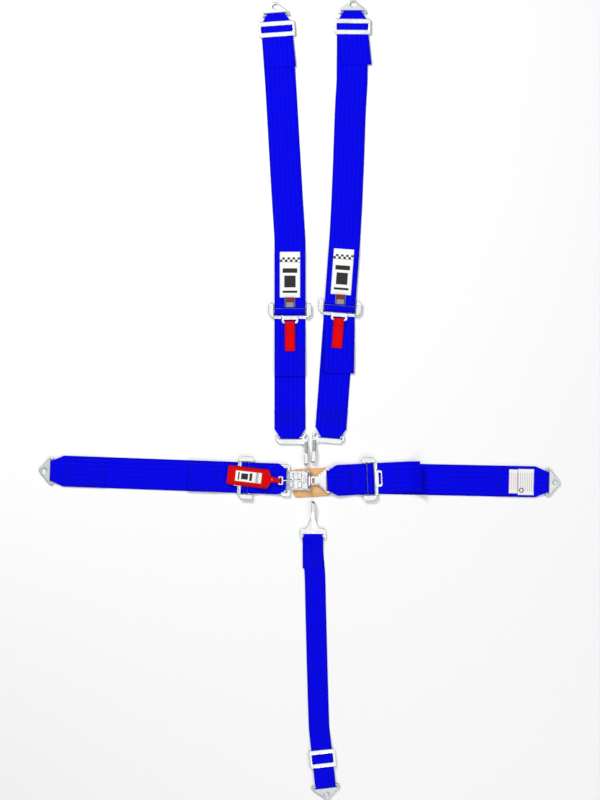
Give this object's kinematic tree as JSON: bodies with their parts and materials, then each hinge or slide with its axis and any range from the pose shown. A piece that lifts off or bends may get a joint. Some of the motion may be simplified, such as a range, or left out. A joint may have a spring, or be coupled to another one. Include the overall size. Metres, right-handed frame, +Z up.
{
  "type": "racing harness",
  "caption": "Latch-and-link racing harness laid flat, with wide lap and shoulder belts, a crotch belt, tilt-lock adjusters and bolt-in brackets.",
  "frame": {"origin": "centre of the buckle, at the underside of the leather pad, on the table", "axes": "+X along the right lap belt, +Y along the shoulder belts, +Z up from the table"},
  "size_m": [1.2799, 1.9651, 0.0313],
  "materials": {
    "leather": "tan split leather pad with a stitched edge",
    "label": "woven white label",
    "tag": "small folded woven tag",
    "red_webbing": "red folded nylon webbing",
    "bracket_steel": "zinc-plated stamped plate",
    "knurled_steel": "knurled lock bar",
    "pin_steel": "zinc-plated pin and spring wire",
    "plated_steel": "bright plated stamped steel",
    "blue_webbing": "bright blue woven polyester webbing"
  },
  "bodies": {
    "buckle": {"buckle_pad": "leather", "latch_body": "plated_steel", "latch_pin": "pin_steel", "latch_spring": "pin_steel", "latch_strap": "blue_webbing", "lap_left_frame": "plated_steel"},
    "lever": {"latch_lever": "plated_steel"},
    "handle": {"latch_handle": "red_webbing", "handle_label": "label"},
    "link_side": {"link": "plated_steel", "link_strap": "blue_webbing", "lap_right_frame": "plated_steel"},
    "lap_left_lock": {"lap_left_bar": "knurled_steel", "lap_left_bight": "blue_webbing"},
    "lap_left_free_end": {"lap_left_tail": "blue_webbing"},
    "lap_left_belt": {"lap_left_webbing": "blue_webbing"},
    "lap_left_anchor": {"lap_left_bracket": "bracket_steel"},
    "lap_right_lock": {"lap_right_bar": "knurled_steel", "lap_right_bight": "blue_webbing"},
    "lap_right_free_end": {"lap_right_tail": "blue_webbing"},
    "lap_right_belt": {"lap_right_webbing": "blue_webbing", "spec_label": "label"},
    "lap_right_anchor": {"lap_right_bracket": "bracket_steel"},
    "crotch_end": {"crotch_fitting": "plated_steel"},
    "crotch_belt": {"crotch_webbing": "blue_webbing"},
    "crotch_adjuster": {"crotch_slide": "plated_steel"},
    "crotch_anchor": {"crotch_bracket": "bracket_steel"},
    "shoulder_left_end": {"shoulder_left_fitting": "plated_steel"},
    "shoulder_left_belt": {"shoulder_left_webbing": "blue_webbing"},
    "shoulder_left_adjuster": {"shoulder_left_frame": "plated_steel", "shoulder_left_upper": "blue_webbing", "shoulder_left_label": "label", "shoulder_left_tag": "tag"},
    "shoulder_left_free_end": {"shoulder_left_tail": "blue_webbing"},
    "shoulder_left_lock": {"shoulder_left_bar": "knurled_steel", "shoulder_left_bight": "blue_webbing"},
    "shoulder_left_pull": {"shoulder_left_tab": "red_webbing"},
    "shoulder_left_top": {"shoulder_left_slide": "plated_steel"},
    "shoulder_left_anchor": {"shoulder_left_bracket": "bracket_steel"},
    "shoulder_right_end": {"shoulder_right_fitting": "plated_steel"},
    "shoulder_right_belt": {"shoulder_right_webbing": "blue_webbing"},
    "shoulder_right_adjuster": {"shoulder_right_frame": "plated_steel", "shoulder_right_upper": "blue_webbing", "shoulder_right_label": "label", "shoulder_right_tag": "tag"},
    "shoulder_right_free_end": {"shoulder_right_tail": "blue_webbing"},
    "shoulder_right_lock": {"shoulder_right_bar": "knurled_steel", "shoulder_right_bight": "blue_webbing"},
    "shoulder_right_pull": {"shoulder_right_tab": "red_webbing"},
    "shoulder_right_top": {"shoulder_right_slide": "plated_steel"},
    "shoulder_right_anchor": {"shoulder_right_bracket": "bracket_steel"}
  },
  "joints": [
    {"name": "lever_lift", "type": "hinge", "parent": "buckle", "child": "lever", "pos_m": [-0.0046, -0.0005, 0.017], "axis": [0, 1, 0], "range_deg": [0, 100]},
    {"name": "handle_lift", "type": "hinge", "parent": "lever", "child": "handle", "pos_m": [-0.079, -0.0005, 0.017], "axis": [0, 1, 0], "range_deg": [0, 90]},
    {"name": "link_release", "type": "slide", "parent": "buckle", "child": "link_side", "axis": [1, 0, 0], "range_m": [0, 0.06]},
    {"name": "lap_left_lock_slide", "type": "slide", "parent": "buckle", "child": "lap_left_lock", "axis": [-0.9993, 0.0366, 0], "range_m": [-0.0012, 0]},
    {"name": "lap_left_adjust", "type": "slide", "parent": "buckle", "child": "lap_left_belt", "axis": [0.9993, -0.0366, 0], "range_m": [0, 0.1]},
    {"name": "lap_left_tail_slide", "type": "slide", "parent": "buckle", "child": "lap_left_free_end", "axis": [-0.9993, 0.0366, 0], "range_m": [0, 0.1]},
    {"name": "lap_left_bracket_swing", "type": "hinge", "parent": "lap_left_belt", "child": "lap_left_anchor", "pos_m": [-0.63659, 0.02329, 0.0047], "axis": [0.0366, 0.9993, 0], "range_deg": [-75, 75]},
    {"name": "lap_right_lock_slide", "type": "slide", "parent": "link_side", "child": "lap_right_lock", "axis": [0.9988, 0.0489, 0], "range_m": [-0.0012, 0]},
    {"name": "lap_right_adjust", "type": "slide", "parent": "link_side", "child": "lap_right_belt", "axis": [-0.9998, 0.0209, 0], "range_m": [0, 0.095]},
    {"name": "lap_right_tail_slide", "type": "slide", "parent": "link_side", "child": "lap_right_free_end", "axis": [0.9988, 0.0489, 0], "range_m": [0, 0.095]},
    {"name": "lap_right_bracket_swing", "type": "hinge", "parent": "lap_right_belt", "child": "lap_right_anchor", "pos_m": [0.58031, -0.00482, 0.0047], "axis": [-0.0209, -0.9998, 0], "range_deg": [-75, 75]},
    {"name": "shoulder_left_release", "type": "slide", "parent": "buckle", "child": "shoulder_left_end", "axis": [0, 1, 0], "range_m": [0, 0.06]},
    {"name": "shoulder_left_strap_swing", "type": "hinge", "parent": "shoulder_left_end", "child": "shoulder_left_belt", "pos_m": [-0.0517, 0.106, 0.0047], "axis": [1, 0, 0], "range_deg": [0, 55]},
    {"name": "shoulder_left_adjust", "type": "slide", "parent": "shoulder_left_belt", "child": "shoulder_left_adjuster", "axis": [0, -1, 0], "range_m": [0, 0.06]},
    {"name": "shoulder_left_tail_slide", "type": "slide", "parent": "shoulder_left_adjuster", "child": "shoulder_left_free_end", "axis": [0, -1, 0], "range_m": [0, 0.06]},
    {"name": "shoulder_left_lock_slide", "type": "slide", "parent": "shoulder_left_adjuster", "child": "shoulder_left_lock", "axis": [0, -1, 0], "range_m": [-0.0012, 0]},
    {"name": "shoulder_left_tab_lift", "type": "hinge", "parent": "shoulder_left_adjuster", "child": "shoulder_left_pull", "pos_m": [-0.0517, 0.3871, 0.00785], "axis": [-1, 0, 0], "range_deg": [0, 120]},
    {"name": "shoulder_left_slide_travel", "type": "slide", "parent": "shoulder_left_adjuster", "child": "shoulder_left_top", "axis": [0.0698, -0.9976, 0], "range_m": [0, 0.04]},
    {"name": "shoulder_left_bracket_swing", "type": "hinge", "parent": "shoulder_left_adjuster", "child": "shoulder_left_anchor", "pos_m": [-0.0864, 1.14365, 0.0047], "axis": [0.9976, 0.0698, 0], "range_deg": [-75, 75]},
    {"name": "shoulder_right_release", "type": "slide", "parent": "buckle", "child": "shoulder_right_end", "axis": [0, 1, 0], "range_m": [0, 0.06]},
    {"name": "shoulder_right_strap_swing", "type": "hinge", "parent": "shoulder_right_end", "child": "shoulder_right_belt", "pos_m": [0.04756, 0.10821, 0.0047], "axis": [0.9973, -0.0732, 0], "range_deg": [0, 55]},
    {"name": "shoulder_right_adjust", "type": "slide", "parent": "shoulder_right_belt", "child": "shoulder_right_adjuster", "axis": [-0.0732, -0.9973, 0], "range_m": [0, 0.06]},
    {"name": "shoulder_right_tail_slide", "type": "slide", "parent": "shoulder_right_adjuster", "child": "shoulder_right_free_end", "axis": [-0.0122, -0.9999, 0], "range_m": [0, 0.06]},
    {"name": "shoulder_right_lock_slide", "type": "slide", "parent": "shoulder_right_adjuster", "child": "shoulder_right_lock", "axis": [-0.0732, -0.9973, 0], "range_m": [-0.0012, 0]},
    {"name": "shoulder_right_tab_lift", "type": "hinge", "parent": "shoulder_right_adjuster", "child": "shoulder_right_pull", "pos_m": [0.06858, 0.39454, 0.00785], "axis": [-0.9973, 0.0732, 0], "range_deg": [0, 120]},
    {"name": "shoulder_right_slide_travel", "type": "slide", "parent": "shoulder_right_adjuster", "child": "shoulder_right_top", "axis": [-0.0087, -1, 0], "range_m": [0, 0.04]},
    {"name": "shoulder_right_bracket_swing", "type": "hinge", "parent": "shoulder_right_adjuster", "child": "shoulder_right_anchor", "pos_m": [0.10243, 1.1497, 0.0047], "axis": [1, -0.0087, 0], "range_deg": [-75, 75]},
    {"name": "crotch_release", "type": "slide", "parent": "buckle", "child": "crotch_end", "axis": [0, -1, 0], "range_m": [0, 0.06]},
    {"name": "crotch_strap_swing", "type": "hinge", "parent": "crotch_end", "child": "crotch_belt", "pos_m": [0.0049, -0.137, 0.0047], "axis": [-1, 0, 0], "range_deg": [0, 100]},
    {"name": "crotch_slide_travel", "type": "slide", "parent": "crotch_belt", "child": "crotch_adjuster", "axis": [0.1097, -0.994, 0], "range_m": [-0.008, 0.01]},
    {"name": "crotch_bracket_swing", "type": "hinge", "parent": "crotch_belt", "child": "crotch_anchor", "pos_m": [0.03571, -0.75252, 0.0047], "axis": [-0.994, -0.1097, 0], "range_deg": [-75, 75]}
  ],
  "couplings": [
    {"joint": "lap_left_tail_slide", "follows": "lap_left_adjust", "ratio": 1},
    {"joint": "lap_right_tail_slide", "follows": "lap_right_adjust", "ratio": 1},
    {"joint": "shoulder_left_tail_slide", "follows": "shoulder_left_adjust", "ratio": 1},
    {"joint": "shoulder_right_tail_slide", "follows": "shoulder_right_adjust", "ratio": 1}
  ]
}
